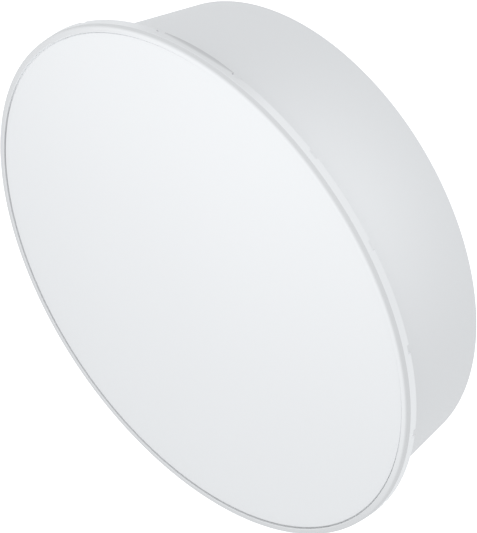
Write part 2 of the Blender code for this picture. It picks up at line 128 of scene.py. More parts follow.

# Where those painted tones start and end, in radius, depth or height
BAND_RADII = (BEAD_RADIUS - 0.0018, BEAD_RADIUS - 0.0001)
CROWN_RADII = (CROWN_START, CROWN_START + 0.0006)
CROWN_EDGE_RADII = (CROWN_START + 0.0020, BEAD_RADIUS)
BEAD_DEPTHS = (BEAD_DEPTH - 0.0001, BEAD_DEPTH + 0.0002)
SKIRT_DEPTHS = (BEAD_DEPTH, BEAD_DEPTH + 0.0006)
SKIRT_HEIGHTS = (-0.02, 0.10)
CHANNEL_INNER_RADII = (FACE_RADIUS + 0.0004, FACE_RADIUS + 0.0007)
CHANNEL_OUTER_RADII = (CROWN_START + 0.0001, CROWN_START + 0.0003)
CHANNEL_DEPTHS = (0.0002, 0.0006)
RECESS_START_DEPTHS = (BEAD_DEPTH - 0.0002, BEAD_DEPTH + 0.0006)

# The same for the recess's painted shade: depth behind its curved edge, and its half widths from its
# middle, squared
RECESS_DEPTHS = (-0.0014, 0.0016)
RECESS_SQUARES = (0.4, 4.5)

# Cosines of the angle from the lit side, between which a painted shade fades out
CROWN_COSINES = (-0.10, 0.75)
GROOVE_COSINES = (-0.15, 0.25)
GROOVE_LIT_SIDE_ANGLE = math.radians(18.0)

# Shroud
SHROUD_FRONT = 0.0056
SHROUD_REAR = 0.1134
SHROUD_FRONT_RADIUS = 0.2180
SHROUD_REAR_RADIUS = 0.1971
SHROUD_WALL = 0.0020
SHROUD_LIP_RADIUS = 0.1826
SHROUD_EDGE = 0.0003
COLLAR_WALL = 0.0016
RIB_WIDTH = 0.0022
RIB_DEPTH = 0.0042
RIB_SINK = 0.0014
RIB_SHIFT = 0.0028

# Tone of the shroud's plastic, with painted light: lighter round an angle and most of all at the
# front
SHROUD_COLOUR = (0.755, 0.761, 0.768)
SHROUD_CLOUD = 5.0
SHROUD_GRAIN = 1200.0
SHROUD_ROUGHNESS = (0.44, 0.56)
LIT_SIDE_ANGLE = math.radians(46.0)
PAINTED_LIGHT_HALF = math.radians(48.0)
PAINTED_LIGHT_DEPTHS = (-SHROUD_FRONT, SHROUD_REAR * 1.2)
PAINTED_LIGHT_FACTOR = 1.13
PAINTED_LIGHT_REAR_SHARE = 0.1

# Reflector
FOCAL_LENGTH = 0.1410
DISH_RADIUS = SHROUD_REAR_RADIUS - COLLAR_WALL - GAP
DISH_WALL = 0.0016
SEAT_RADIUS = 0.0660
FEED_HOLE_RADIUS = 0.0260
DISH_RINGS = 48
RIM_SCREW_COUNT = 12
RIM_SCREW_FIRST = math.radians(16.5)
RIM_SCREW_RADIUS = 0.1890

# Hub, backing ring and feed
HUB_RADIUS = 0.0640
HUB_THICKNESS = 0.0050
HUB_EDGE = 0.0012
PAD_WIDTH = 0.0580
PAD_HEIGHT = 0.0740
PAD_THICKNESS = 0.0030
PAD_ROUND = 0.0010
RING_RADIUS = 0.0590
RING_THICKNESS = 0.0030
HUB_BOLT_X = 0.0470
HUB_BOLT_Z = 0.0220
FEED_RADIUS = 0.0225
FEED_NECK_RADIUS = 0.0180
FEED_NECK_LENGTH = 0.0120
FEED_SHOULDER = 0.0040
FEED_FRONT = 0.0600
FEED_CAP_FRONT = 0.0380
FEED_CAP_RADIUS = 0.0330
FEED_CAP_EDGE = 0.0045

# Radio housing
HOUSING_SIZE = (0.0560, 0.0160, 0.0740)
COVER_SIZE = (0.0520, 0.0140, 0.0260)
HOUSING_ROUND = 0.0032
SEAM_WIDTH = 0.0006
SEAM_DEPTH = 0.0005
SEAM_REACH = 1.5
CASE_SCREW_RADIUS = 0.0019
CASE_SCREW_INSET = 0.0065
CASE_SCREW_PROUD = 0.0006
CASE_SLOT_SIZE = (CASE_SCREW_RADIUS * 1.3, 0.0005, CASE_SCREW_PROUD)
GLAND_RADIUS = 0.0065
GLAND_TIP_RADIUS = 0.0048
GLAND_LENGTH = 0.0120
GLAND_COLLAR = 0.0036
GLAND_NUT = 0.00864
GLAND_RIB = 0.0005
GLAND_RIB_WIDTH = 0.0010
GLAND_RIB_COUNT = 12

# Mounting bracket
PLATE = 0.0025
BEND = 0.0035
FOOT_REACH = 0.0560
FOOT_CORNER = 0.0080
LEG_X = 0.0340
BRACKET_HALF_HEIGHT = 0.0300
POLE_BOLT_SPREAD = 0.0200
POLE_BOLT_HOLE = 0.0043

# Fasteners
BOLT_RADIUS = 0.0030
BOLT_HOLE = 0.0034
BOLT_HEX_RADIUS = 0.0057
BOLT_CHAMFER = 0.0005
BOLT_HEAD = 0.0050
BOLT_FLANGE_RADIUS = 0.0068
BOLT_FLANGE = 0.0012
SCREW_RADIUS = 0.0017
SCREW_HOLE = 0.0021
SCREW_HEAD_RADIUS = 0.0031
SCREW_HEAD = 0.0013
SCREW_HEAD_EDGE = 0.0002
SINK_RADIUS = 0.0045
SINK_START = 0.0010
CROSS_SIZE = (0.0034, 0.0006, 0.0016)
EARTH_SCREW_RADIUS = 0.0024
EARTH_HOLE = 0.0028
EARTH_HEAD_RADIUS = 0.0044
EARTH_CROWN_RADIUS = 0.0032
EARTH_HEAD = 0.0028
EARTH_SLOT_SIZE = (2 * EARTH_HEAD_RADIUS, 0.0008, 0.0016)

# Places worked out from the sizes
TURN_TO_AXIS = Matrix.Translation((0.0, FRONT_Y, 0.0)) @ Matrix.Rotation(math.pi / 2, 4, "X")
LEAN_FORWARD = (
    Matrix.Translation((0.0, FRONT_Y, FRONT_RISE))
    @ Matrix.Rotation(FRONT_LEAN, 4, "X")
    @ Matrix.Translation((0.0, -FRONT_Y, 0.0))
)
FLANGE_RADIUS = RIM_RADIUS - SKIRT_WALL - GAP
FLANGE_REAR = SHROUD_FRONT + SHROUD_WALL
RIM_SLOPE = math.atan((DISH_RADIUS + SHROUD_LIP_RADIUS) / (4.0 * FOCAL_LENGTH))
VERTEX_DEPTH = SHROUD_REAR + DISH_RADIUS ** 2 / (4.0 * FOCAL_LENGTH)
SEAT_DEPTH = VERTEX_DEPTH - SEAT_RADIUS ** 2 / (4.0 * FOCAL_LENGTH)
RING_REAR_DEPTH = SEAT_DEPTH - DISH_WALL - GAP
RING_FRONT_DEPTH = RING_REAR_DEPTH - RING_THICKNESS
HUB_FRONT_DEPTH = SEAT_DEPTH + GAP
HUB_REAR_DEPTH = HUB_FRONT_DEPTH + HUB_THICKNESS
PAD_REAR_DEPTH = HUB_REAR_DEPTH + PAD_THICKNESS
HOUSING_FRONT_DEPTH = PAD_REAR_DEPTH + GAP
FOOT_FRONT_DEPTH = HUB_REAR_DEPTH + GAP
FOOT_REAR_DEPTH = FOOT_FRONT_DEPTH + PLATE

# Finishes: colour, roughness, metallic, grain in waves to the metre and its depth, and cloud in
# waves to the metre and how far it turns the colour lighter and darker
FINISHES = {
    "reflector_paint": ((0.74, 0.745, 0.75), 0.5, 0.0, 2200.0, 0.00003, 8.0, 0.012),
    "stainless": ((0.62, 0.62, 0.63), 0.30, 1.0, 900.0, 0.000004, 40.0, 0.03),
    "zinc_plate": ((0.66, 0.67, 0.69), 0.42, 0.85, 1400.0, 0.000008, 120.0, 0.05),
    "cast_alloy": ((0.60, 0.61, 0.62), 0.55, 0.8, 1600.0, 0.00004, 60.0, 0.03),
    "housing_plastic": ((0.80, 0.805, 0.81), 0.5, 0.0, 1800.0, 0.00003, 20.0, 0.01),
    "feed_plastic": ((0.74, 0.74, 0.73), 0.5, 0.0, 1500.0, 0.00002, 20.0, 0.01),
    "gland_rubber": ((0.05, 0.05, 0.05), 0.7, 0.0, 1500.0, 0.00003, 60.0, 0.1),
}
ROUGHNESS_SPREAD = 0.06
NOISE_RANGE = (0.3, 0.7)

# Moulded plastic of the radome and the shroud
MOULD_DEPTH = 0.00002
MOULD_SPREAD = 0.008

# Lamps near the antenna: name, place, what they aim at, width and power in watts
LAMPS = (
    ("near_right", (0.34, -0.42, 0.34), (0.15, -0.17, 0.15), 0.25, 0.07),
    ("side_right", (0.36, -0.26, 0.36), (0.15, -0.17, 0.15), 0.15, 0.03),
    ("high_front", (-0.02, -0.70, 0.27), (0.0, -0.20, 0.10), 0.35, 0.52),
)
SKY = 0.904
SKY_COLOUR = (0.97, 0.985, 1.0, 1.0)
WHITE = (1.0, 1.0, 1.0, 1.0)
FLOOR_HALF = 60.0
FLOOR_HEIGHT = -0.6
FLOOR_GLOW = 0.5


def link_object(name, mesh):
    """Adds an object for a mesh to the scene."""
    item = bpy.data.objects.new(name, mesh)
    bpy.context.scene.collection.objects.link(item)
    return item


def bake(item):
    """Replaces an object's mesh with the one that its modifiers make."""
    graph = bpy.context.evaluated_depsgraph_get()
    mesh = bpy.data.meshes.new_from_object(item.evaluated_get(graph))
    item.modifiers.clear()
    item.data = mesh


def smooth(item, degrees=30.0):
    """Shades an object smooth with its corners sharp."""
    item.data.shade_smooth()
    item.data.set_sharp_from_angle(angle=math.radians(degrees))


def arc(centre_x, centre_y, radius, start, end, steps):
    """Points along an arc, its angles in degrees."""
    points = []
    for index in range(steps + 1):
        angle = math.radians(start + (end - start) * index / steps)
        points.append((centre_x + radius * math.cos(angle), centre_y + radius * math.sin(angle)))
    return points


def depth_arc(centre_radius, centre_depth, radius, start, end, steps):
    """Points of radius and depth along an arc; zero degrees is outward and 90 is forward."""
    points = arc(centre_radius, -centre_depth, radius, start, end, steps)
    return [(point, -height) for point, height in points]


def lathe(name, profile, matrix, closed=False, steps=FINE_STEPS):
    """Turns a profile of radius and height about local Z and places it with a matrix."""
    mesh = bpy.data.meshes.new(name)
    edges = [(index, index + 1) for index in range(len(profile) - 1)]
    if closed:
        edges.append((len(profile) - 1, 0))
    mesh.from_pydata([(radius, 0.0, height) for radius, height in profile], edges, [])
    item = link_object(name, mesh)
    screw = item.modifiers.new("turn", "SCREW")
    screw.steps = steps
    screw.render_steps = steps
    screw.use_merge_vertices = True
    screw.merge_threshold = 0.00001
    bake(item)
    item.data.transform(matrix)
    return item


def turned(name, profile, closed=False, steps=FINE_STEPS):
    """Turns a profile of radius and depth about the antenna's axis."""
    return lathe(name, [(radius, -depth) for radius, depth in profile], TURN_TO_AXIS, closed, steps)


def around_axis(angle):
    """Turns about the antenna's axis, from the top towards +X."""
    return Matrix.Rotation(angle, 4, "Y")


def at(x, depth, z):
    """Place at a depth."""
    return Matrix.Translation((x, FRONT_Y + depth, z))


def backwards(x, depth, z):
    """Places a piece made along +Z so that it runs back from a depth."""
    return at(x, depth, z) @ Matrix.Rotation(-math.pi / 2, 4, "X")


def forwards(x, depth, z):
    """Places a piece made along +Z so that it runs forward from a depth."""
    return at(x, depth, z) @ Matrix.Rotation(math.pi / 2, 4, "X")


def boxes(name, size, places, rounding=0.0):
    """One object of boxes of a size, each at a place, with rounded edges if asked."""
    work = bmesh.new()
    for place in places:
        bmesh.ops.create_cube(work, size=1.0, matrix=place @ Matrix.Diagonal((*size, 1.0)))
    if rounding > 0.0:
        edges = work.edges[:]
        bmesh.ops.bevel(work, geom=edges, offset=rounding, segments=6, affect="EDGES", profile=0.5)
    mesh = bpy.data.meshes.new(name)
    work.to_mesh(mesh)
    work.free()
    return link_object(name, mesh)


def cylinders(name, radius, end_radius, length, places, sides=48):
    """One object of cylinders or cones, each along +Z of its place from zero to its length."""
    work = bmesh.new()
    for place in places:
        bmesh.ops.create_cone(
            work,
            cap_ends=True,
            segments=sides,
            radius1=radius,
            radius2=end_radius,
            depth=length,
            matrix=place @ Matrix.Translation((0.0, 0.0, length / 2)),
        )
    mesh = bpy.data.meshes.new(name)
    work.to_mesh(mesh)
    work.free()
    return link_object(name, mesh)


def combine(item, tool, operation):
    """Cuts an object with a tool or joins the tool to it, and removes the tool."""
    boolean = item.modifiers.new("combine", "BOOLEAN")
    boolean.operation = operation
    boolean.solver = "EXACT"
    boolean.object = tool
    bake(item)
    bpy.data.objects.remove(tool)


def drill(item, radius, length, places):
    """Cuts round holes, each along +Z of its place."""
    combine(item, cylinders("drill", radius, radius, length, places), "DIFFERENCE")


def add_piece(item, material):
    """Gives an extra piece its finish and ties it to the antenna."""
    item.data.materials.clear()
    item.data.materials.append(material)
    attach(item, "root")


def stands_for(item, node, material):
    """Shows a piece in place of a part's node, with its finish."""
    add_piece(item, material)
    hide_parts(node)


def notch_angles():
    """Angles of the notches in the radome's skirt, which are not quite evenly spaced."""
    angles = []
    for index in range(NOTCH_COUNT):
        angles.append(NOTCH_FIRST + index * NOTCH_STEP + math.radians(NOTCH_NUDGES.get(index, 0.0)))
    return angles


def hub_bolt_places():
    """Centres of the four hub bolts, in X and Z."""
    return [(side * HUB_BOLT_X, level * HUB_BOLT_Z) for side in (-1, 1) for level in (-1, 1)]


# Materials

def new_material(name, colour, roughness, metallic=0.0):
    """A material with its shader, and coordinates in metres."""
    material = bpy.data.materials.new(name)
    material.use_nodes = True
    tree = material.node_tree
    shader = tree.nodes["Principled BSDF"]
    shader.inputs["Base Color"].default_value = (*colour, 1.0)
    shader.inputs["Roughness"].default_value = roughness
    shader.inputs["Metallic"].default_value = metallic
    coordinates = tree.nodes.new("ShaderNodeTexCoord").outputs["Object"]
    return material, tree, shader, coordinates


def calculate(tree, operation, first, second=None):
    """A Math node on sockets or numbers."""
    node = tree.nodes.new("ShaderNodeMath")
    node.operation = operation
    for index, value in enumerate((first, second)):
        if value is None:
            continue
        if isinstance(value, (int, float)):
            node.inputs[index].default_value = value
        else:
            tree.links.new(value, node.inputs[index])
    return node.outputs[0]


def ramp(tree, value, low, high, start, end):
    """Maps a value from low and high to start and end, smoothly."""
    node = tree.nodes.new("ShaderNodeMapRange")
    node.interpolation_type = "SMOOTHSTEP"
    tree.links.new(value, node.inputs["Value"])
    node.inputs["From Min"].default_value = low
    node.inputs["From Max"].default_value = high
    node.inputs["To Min"].default_value = start
    node.inputs["To Max"].default_value = end
    return node.outputs["Result"]


def rising(tree, value, limits):
    """Zero below two limits and one above them."""
    return ramp(tree, value, *limits, 0.0, 1.0)


def falling(tree, value, limits):
    """One below two limits and zero above them."""
    return ramp(tree, value, *limits, 1.0, 0.0)


def multiply(tree, first, second):
    """Product of two sockets or numbers."""
    return calculate(tree, "MULTIPLY", first, second)


def split(tree, vector):
    """The three parts of a vector."""
    separate = tree.nodes.new("ShaderNodeSeparateXYZ")
    tree.links.new(vector, separate.inputs[0])
    return separate.outputs


def noise(tree, coordinates, scale):
    """Noise of a scale, in waves to the metre."""
    node = tree.nodes.new("ShaderNodeTexNoise")
    node.inputs["Scale"].default_value = scale
    node.inputs["Detail"].default_value = 3.0
    tree.links.new(coordinates, node.inputs["Vector"])
    return node.outputs["Fac"]


def mix_colours(tree, factor, first, second):
    """Mixes two colours, each a socket or three numbers."""
    node = tree.nodes.new("ShaderNodeMix")
    node.data_type = "RGBA"
    tree.links.new(factor, node.inputs["Factor"])
    for name, value in (("A", first), ("B", second)):
        socket = [entry for entry in node.inputs if entry.name == name and entry.type == "RGBA"][0]
        if isinstance(value, tuple):
            socket.default_value = (*value, 1.0)
        else:
            tree.links.new(value, socket)
    return [entry for entry in node.outputs if entry.type == "RGBA"][0]


def scaled(colour, factor):
    """A colour made lighter or darker."""
    return tuple(channel * factor for channel in colour)


def clouded(tree, coordinates, scale, colour, spread):
    """A colour with a faint cloud in it."""
    cloud = noise(tree, coordinates, scale)
    return mix_colours(tree, cloud, scaled(colour, 1.0 - spread), scaled(colour, 1.0 + spread))


def add_grain(tree, shader, coordinates, scale, depth, roughness):
    """Gives a surface a grain, in its relief and between two roughnesses."""
    grain = noise(tree, coordinates, scale)
    tree.links.new(ramp(tree, grain, *NOISE_RANGE, *roughness), shader.inputs["Roughness"])
    bump = tree.nodes.new("ShaderNodeBump")
    bump.inputs["Strength"].default_value = 1.0
    bump.inputs["Distance"].default_value = depth
    tree.links.new(grain, bump.inputs["Height"])
    tree.links.new(bump.outputs["Normal"], shader.inputs["Normal"])


def finished(name):
    """A material from the list of finishes, with its grain and its cloud."""
    colour, roughness, metallic, grain, depth, cloud, spread = FINISHES[name]
    material, tree, shader, coordinates = new_material(name, colour, roughness, metallic)
    tint = clouded(tree, coordinates, cloud, colour, spread)
    tree.links.new(tint, shader.inputs["Base Color"])
    limits = (roughness - ROUGHNESS_SPREAD, roughness + ROUGHNESS_SPREAD)
    add_grain(tree, shader, coordinates, grain, depth, limits)
    return material


def radome_place(tree, coordinates):
    """Place on the radome with its lean undone: X, depth, height and radius."""
    straight = tree.nodes.new("ShaderNodeMapping")
    straight.vector_type = "TEXTURE"
    straight.inputs["Location"].default_value = (0.0, FRONT_Y, FRONT_RISE)
    straight.inputs["Rotation"].default_value = (FRONT_LEAN, 0.0, 0.0)
    tree.links.new(coordinates, straight.inputs["Vector"])
    x, depth, z = split(tree, straight.outputs[0])
    sideways = calculate(tree, "POWER", x, 2.0)
    upwards = calculate(tree, "POWER", z, 2.0)
    radius = calculate(tree, "SQRT", calculate(tree, "ADD", sideways, upwards))
    return x, depth, z, radius


def facing_away(tree, x, z, radius, angle, cosines):
    """One round the side turned away from an angle, falling to zero between two cosines."""
    sideways = multiply(tree, x, math.sin(angle))
    upwards = multiply(tree, z, math.cos(angle))
    cosine = calculate(tree, "DIVIDE", calculate(tree, "ADD", sideways, upwards), radius)
    return falling(tree, cosine, cosines)


def bead_shade_mask(tree, x, z, radius):
    """Painted shade on the bead: its far half from the lit side, and in part its outer edge all
    round.
    """
    far = facing_away(tree, x, z, radius, LIT_SIDE_ANGLE, CROWN_COSINES)
    outer = ramp(tree, radius, *CROWN_EDGE_RADII, 0.0, CROWN_EDGE_SHARE)
    either = calculate(tree, "MAXIMUM", far, outer)
    return multiply(tree, rising(tree, radius, CROWN_RADII), either)


def channel_mask(tree, depth, radius):
    """The inside of the groove between the face and the bead."""
    outside = rising(tree, radius, CHANNEL_INNER_RADII)
    inside = falling(tree, radius, CHANNEL_OUTER_RADII)
    below = rising(tree, depth, CHANNEL_DEPTHS)
    return multiply(tree, below, multiply(tree, outside, inside))


def recess_shade_mask(tree, x, depth, z):
    """How deep the shade is in and round the finger recess, from zero to one."""
    turn = calculate(tree, "SUBTRACT", calculate(tree, "ARCTAN2", x, z), RECESS_ANGLE)
    across = calculate(tree, "DIVIDE", turn, RECESS_HALF)
    square = multiply(tree, across, across)
    rise = multiply(tree, square, RECESS_END - RECESS_MIDDLE)
    behind = calculate(tree, "SUBTRACT", calculate(tree, "SUBTRACT", depth, RECESS_MIDDLE), rise)
    hollow = ramp(tree, behind, *RECESS_DEPTHS, 0.0, RECESS_SHARE)
    beside = ramp(tree, square, *RECESS_SQUARES, RECESS_BESIDE_SHARE, 0.0)
    skirt = rising(tree, depth, RECESS_START_DEPTHS)
    return multiply(tree, skirt, calculate(tree, "ADD", hollow, beside))


def radome_finish():
    """White plastic with a fine moulded grain, with painted shade on the bead, in the groove's far
    side and in the recess, and painted light on the lower skirt and inside the groove.
    """
    material, tree, shader, coordinates = new_material("radome_plastic", FACE_COLOUR, 0.48)
    x, depth, z, radius = radome_place(tree, coordinates)
    bead = falling(tree, depth, BEAD_DEPTHS)
    # Painted shade on the bead's far side and outer edge
    crown = multiply(tree, bead_shade_mask(tree, x, z, radius), bead)
    # Painted shade: grey band on the bead's outer edge
    band = multiply(tree, rising(tree, radius, BAND_RADII), bead)
    # Painted light on the lower skirt
    painted_light_skirt = multiply(tree, rising(tree, depth, SKIRT_DEPTHS), falling(tree, z, SKIRT_HEIGHTS))
    # Painted light inside the groove
    channel = channel_mask(tree, depth, radius)
    # Painted shade on the groove's far side, away from the lit side
    far = facing_away(tree, x, z, radius, GROOVE_LIT_SIDE_ANGLE, GROOVE_COSINES)
    groove = multiply(tree, channel, far)
    # Painted shade in and round the finger recess
    recess = recess_shade_mask(tree, x, depth, z)
    tone = clouded(tree, coordinates, RADOME_CLOUD, FACE_COLOUR, MOULD_SPREAD)
    # Painted shade and painted light mixed into the plastic's colour, one mask after another
    for mask, colour in (
        (crown, scaled(FACE_COLOUR, CROWN_SHADE_FACTOR)),
        (band, BAND_SHADE_COLOUR),
        (painted_light_skirt, scaled(FACE_COLOUR, SKIRT_LIGHT_FACTOR)),
        (channel, scaled(FACE_COLOUR, CHANNEL_LIGHT_FACTOR)),
        (groove, scaled(FACE_COLOUR, GROOVE_SHADE_FACTOR)),
        (recess, scaled(FACE_COLOUR, RECESS_SHADE_FACTOR)),
    ):
        tone = mix_colours(tree, mask, tone, colour)
    tree.links.new(tone, shader.inputs["Base Color"])
    add_grain(tree, shader, coordinates, RADOME_GRAIN, MOULD_DEPTH, RADOME_ROUGHNESS)
    return material


def shroud_finish():
    """White plastic with a fine moulded grain and painted light, a little lighter towards the
    front's upper right.
    """
    material, tree, shader, coordinates = new_material("shroud_plastic", SHROUD_COLOUR, 0.5)
    x, y, z = split(tree, coordinates)
    turn = calculate(tree, "ARCTAN2", x, z)
    away = calculate(tree, "ABSOLUTE", calculate(tree, "SUBTRACT", turn, LIT_SIDE_ANGLE))
    near = falling(tree, away, (0.0, PAINTED_LIGHT_HALF))
    first, last = PAINTED_LIGHT_DEPTHS
    ahead = ramp(tree, y, FRONT_Y + first, FRONT_Y + last, 1.0, PAINTED_LIGHT_REAR_SHARE)
    white = clouded(tree, coordinates, SHROUD_CLOUD, SHROUD_COLOUR, MOULD_SPREAD)
    painted_light = scaled(SHROUD_COLOUR, PAINTED_LIGHT_FACTOR)
    # Painted light: lighter round the lit side and towards the front
    tone = mix_colours(tree, multiply(tree, near, ahead), white, painted_light)
    tree.links.new(tone, shader.inputs["Base Color"])
    add_grain(tree, shader, coordinates, SHROUD_GRAIN, MOULD_DEPTH, SHROUD_ROUGHNESS)
    return material


# Radome and shroud

def radome_profile():
    """Profile of the radome: face, groove, bead, band, skirt, and back."""
    inner = RIM_RADIUS - SKIRT_WALL
    shoulder = SHROUD_FRONT - GAP
    back = FACE_DEPTH + RADOME_WALL
    top = CROWN_START + CROWN_ROUND
    profile = [(0.0, FACE_DEPTH)]
    fillet_depth = FACE_DEPTH + FACE_FILLET
    profile += depth_arc(FACE_RADIUS - FACE_FILLET, fillet_depth, FACE_FILLET, 90.0, 0.0, 4)
    profile += [(FACE_RADIUS, GROOVE_DEPTH), (CROWN_START, GROOVE_DEPTH)]
    profile += depth_arc(top, CROWN_ROUND, CROWN_ROUND, 180.0, 90.0, 4)
    for index in range(1, CROWN_STEPS + 1):
        turn = math.pi / 2 * index / CROWN_STEPS
        radius = top + (BEAD_RADIUS - top) * math.sin(turn)
        profile.append((radius, BEAD_RISE * (1.0 - math.cos(turn))))
    profile.append((BEAD_RADIUS, BEAD_DEPTH))
    first = BEAD_DEPTH + BEAD_STEP
    last = SKIRT_END - SKIRT_ROUND
    for index in range(SKIRT_RINGS + 1):
        profile.append((RIM_RADIUS, first + (last - first) * index / SKIRT_RINGS))
    profile += depth_arc(RIM_RADIUS - SKIRT_ROUND, last, SKIRT_ROUND, 0.0, -90.0, 3)[1:]
    profile += [
        (inner, SKIRT_END),
        (inner, shoulder),
        (FACE_RADIUS - RADOME_WALL, shoulder),
        (FACE_RADIUS - 2 * RADOME_WALL, back),
        (0.0, back),
    ]
    return profile


def sink_finger_recess(mesh):
    """Sinks a shallow lens-shaped finger recess with a small lip in the skirt's rear edge."""
    corner = SKIRT_ROUND + EDGE_SLACK
    for vertex in mesh.vertices:
        x, y, z = vertex.co
        radius = math.hypot(x, z)
        across = (math.atan2(x, z) - RECESS_ANGLE) / RECESS_HALF
        if abs(across) >= 1.0:
            continue
        if y - FRONT_Y > SKIRT_END - corner:
            vertex.co.y = y + RECESS_LIP * (1.0 - across * across)
        if radius < RIM_RADIUS - corner:
            continue
        start = RECESS_END - (RECESS_END - RECESS_MIDDLE) * (1.0 - across * across)
        inset = max(0.0, y - FRONT_Y - start) * RECESS_SLOPE
        vertex.co.x = x * (radius - inset) / radius
        vertex.co.z = z * (radius - inset) / radius


def build_radome():
    """Flat cover with its groove, bead, skirt, notches and finger recess."""
    item = turned("radome_skin", radome_profile())
    sink_finger_recess(item.data)
    size = (NOTCH_LENGTH, 2 * NOTCH_DEPTH, 4 * SKIRT_WALL)
    places = [around_axis(angle) @ at(0.0, SKIRT_END, RIM_RADIUS) for angle in notch_angles()]
    combine(item, boxes("notches", size, places, NOTCH_ROUND), "DIFFERENCE")
    item.data.transform(LEAN_FORWARD)
    smooth(item)
    stands_for(item, "radome", radome_finish())


def rim_depth(radius):
    """Depth of the bowl's rear face on its sloping rim."""
    return SHROUD_REAR + (DISH_RADIUS - radius) * math.tan(RIM_SLOPE)


def shroud_profile():
    """Profile of the shroud: front flange, wall, rear collar and sloping lip."""
    lip_offset = (DISH_WALL + GAP) / math.cos(RIM_SLOPE)
    lip_wall = SHROUD_WALL / math.cos(RIM_SLOPE)
    collar = SHROUD_REAR_RADIUS - COLLAR_WALL
    lip_depth = rim_depth(SHROUD_LIP_RADIUS) - lip_offset
    inner = SHROUD_REAR_RADIUS - SHROUD_WALL
    profile = [
        (SHROUD_FRONT_RADIUS - SHROUD_WALL, SHROUD_FRONT),
        (FLANGE_RADIUS, SHROUD_FRONT),
        (FLANGE_RADIUS, FLANGE_REAR),
        (SHROUD_FRONT_RADIUS, FLANGE_REAR),
    ]
    edge_radius = SHROUD_REAR_RADIUS - SHROUD_EDGE
    profile += depth_arc(edge_radius, SHROUD_REAR - SHROUD_EDGE, SHROUD_EDGE, 10.0, -90.0, 5)
    profile += [
        (collar, SHROUD_REAR),
        (collar, rim_depth(collar) - lip_offset),
        (SHROUD_LIP_RADIUS, lip_depth),
        (SHROUD_LIP_RADIUS, lip_depth - lip_wall),
        (inner, rim_depth(inner) - lip_offset - lip_wall),
    ]
    return profile


def build_shroud():
    """Flared ring with its leaning flange, rear collar, sloping lip and snap ribs."""
    item = turned("shroud_skin", shroud_profile(), closed=True)
    for vertex in item.data.vertices:
        if vertex.co.y < FRONT_Y + FLANGE_REAR + GAP:
            vertex.co = LEAN_FORWARD @ vertex.co
    height = FLANGE_RADIUS - SHROUD_FRONT_RADIUS
    size = (RIB_WIDTH, RIB_DEPTH + RIB_SINK, height)
    depth = FLANGE_REAR + (RIB_DEPTH - RIB_SINK) / 2
    place = at(RIB_SHIFT, depth, SHROUD_FRONT_RADIUS + height / 2 - RIB_SINK)
    ribs = [LEAN_FORWARD @ around_axis(angle) @ place for angle in notch_angles()]
    combine(item, boxes("ribs", size, ribs), "UNION")
    drill(item, SCREW_HOLE, 3 * OVERRUN, rim_screw_places(OVERRUN))
    smooth(item)
    stands_for(item, "shroud", shroud_finish())


# Reflector, feed and hub

def rim_screw_places(rise):
    """Places on the bowl's sloping rim, +Z running forward through it from a rise above it."""
    lean = Matrix.Rotation(math.pi / 2 + RIM_SLOPE, 4, "X")
    seat = at(0.0, rim_depth(RIM_SCREW_RADIUS), RIM_SCREW_RADIUS) @ lean
    start = seat @ Matrix.Translation((0.0, 0.0, -rise))
    step = math.tau / RIM_SCREW_COUNT
    return [around_axis(RIM_SCREW_FIRST + index * step) @ start for index in range(RIM_SCREW_COUNT)]


def dish_depth(radius):
    """Depth of the bowl's rear face at a radius."""
    return VERTEX_DEPTH - radius ** 2 / (4.0 * FOCAL_LENGTH)


def bowl_front(radius, depth, slope):
    """Point on the bowl's front face across its wall from a point on its rear face."""
    return (radius - DISH_WALL * math.sin(slope), depth - DISH_WALL * math.cos(slope))


def build_reflector():
    """Powder-coated bowl with a flat seat at its centre and countersunk holes round its rim."""
    step = (SHROUD_LIP_RADIUS - SEAT_RADIUS) / DISH_RINGS
    radii = [SHROUD_LIP_RADIUS - index * step for index in range(DISH_RINGS + 1)]
    profile = [(DISH_RADIUS, SHROUD_REAR)]
    profile += [(radius, dish_depth(radius)) for radius in radii]
    profile += [(FEED_HOLE_RADIUS, SEAT_DEPTH), (FEED_HOLE_RADIUS, SEAT_DEPTH - DISH_WALL)]
    for radius in reversed(radii):
        slope = math.atan(radius / (2.0 * FOCAL_LENGTH))
        profile.append(bowl_front(radius, dish_depth(radius), slope))
    profile.append(bowl_front(DISH_RADIUS, SHROUD_REAR, RIM_SLOPE))
    item = turned("reflector_bowl", profile[::-1], closed=True)
    drill(item, SCREW_HOLE, 3 * OVERRUN, rim_screw_places(OVERRUN))
    length = DISH_WALL + SINK_START
    sinks = cylinders("sinks", SINK_RADIUS, SCREW_RADIUS, length, rim_screw_places(SINK_START))
    combine(item, sinks, "DIFFERENCE")
    drill_hub_holes(item, SEAT_DEPTH - 2 * OVERRUN)
    smooth(item, degrees=24.0)
    stands_for(item, "reflector", finished("reflector_paint"))


def drill_hub_holes(item, depth):
    """Cuts the four hub bolts' holes back from a depth."""
    drill(item, BOLT_HOLE, 4 * OVERRUN, [backwards(x, depth, z) for x, z in hub_bolt_places()])


